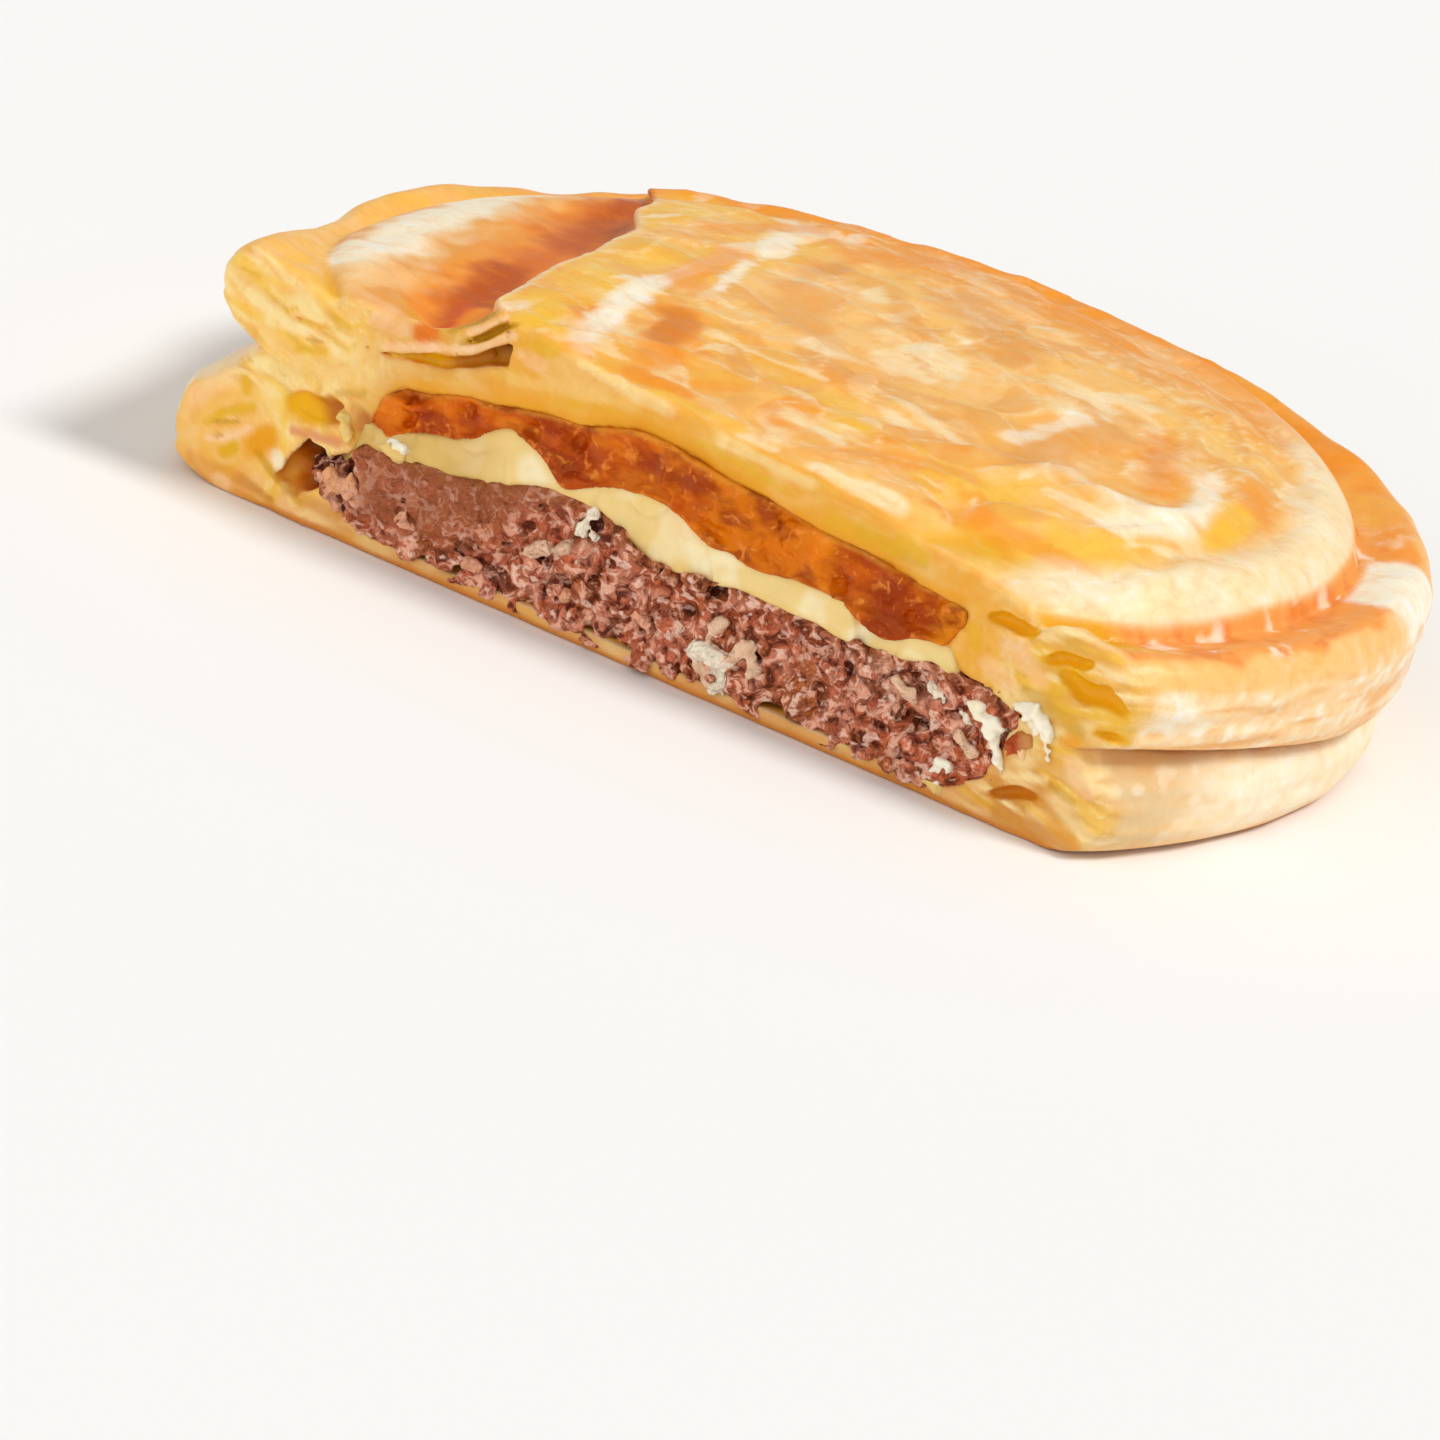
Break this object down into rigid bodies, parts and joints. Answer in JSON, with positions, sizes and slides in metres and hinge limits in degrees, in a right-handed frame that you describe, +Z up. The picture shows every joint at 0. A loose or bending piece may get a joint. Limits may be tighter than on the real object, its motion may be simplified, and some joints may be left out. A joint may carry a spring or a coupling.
{
  "type": "cheeseburger pie",
  "caption": "Round puff pastry pie with a slice cut off its front, showing beef patty, melted cheese and relish between the crusts.",
  "frame": {"origin": "middle of the round pie, on the flat underside of the base", "axes": "+Z up out of the lid, -Y out of the cut face, +X to the right as one looks at the cut"},
  "size_m": [0.1234, 0.1006, 0.0285],
  "materials": {
    "lid_pastry": "baked golden puff pastry with a light egg glaze",
    "base_pastry": "pale baked puff pastry, matt",
    "beef": "coarse cooked minced beef, slightly moist",
    "cheese": "soft melted cheese, satin",
    "relish": "sticky orange-red relish, glossy"
  },
  "bodies": {
    "root": {"lid_crust": "lid_pastry", "base_crust": "base_pastry", "beef_patty": "beef", "cheese_slice": "cheese", "relish": "relish"}
  },
  "joints": []
}
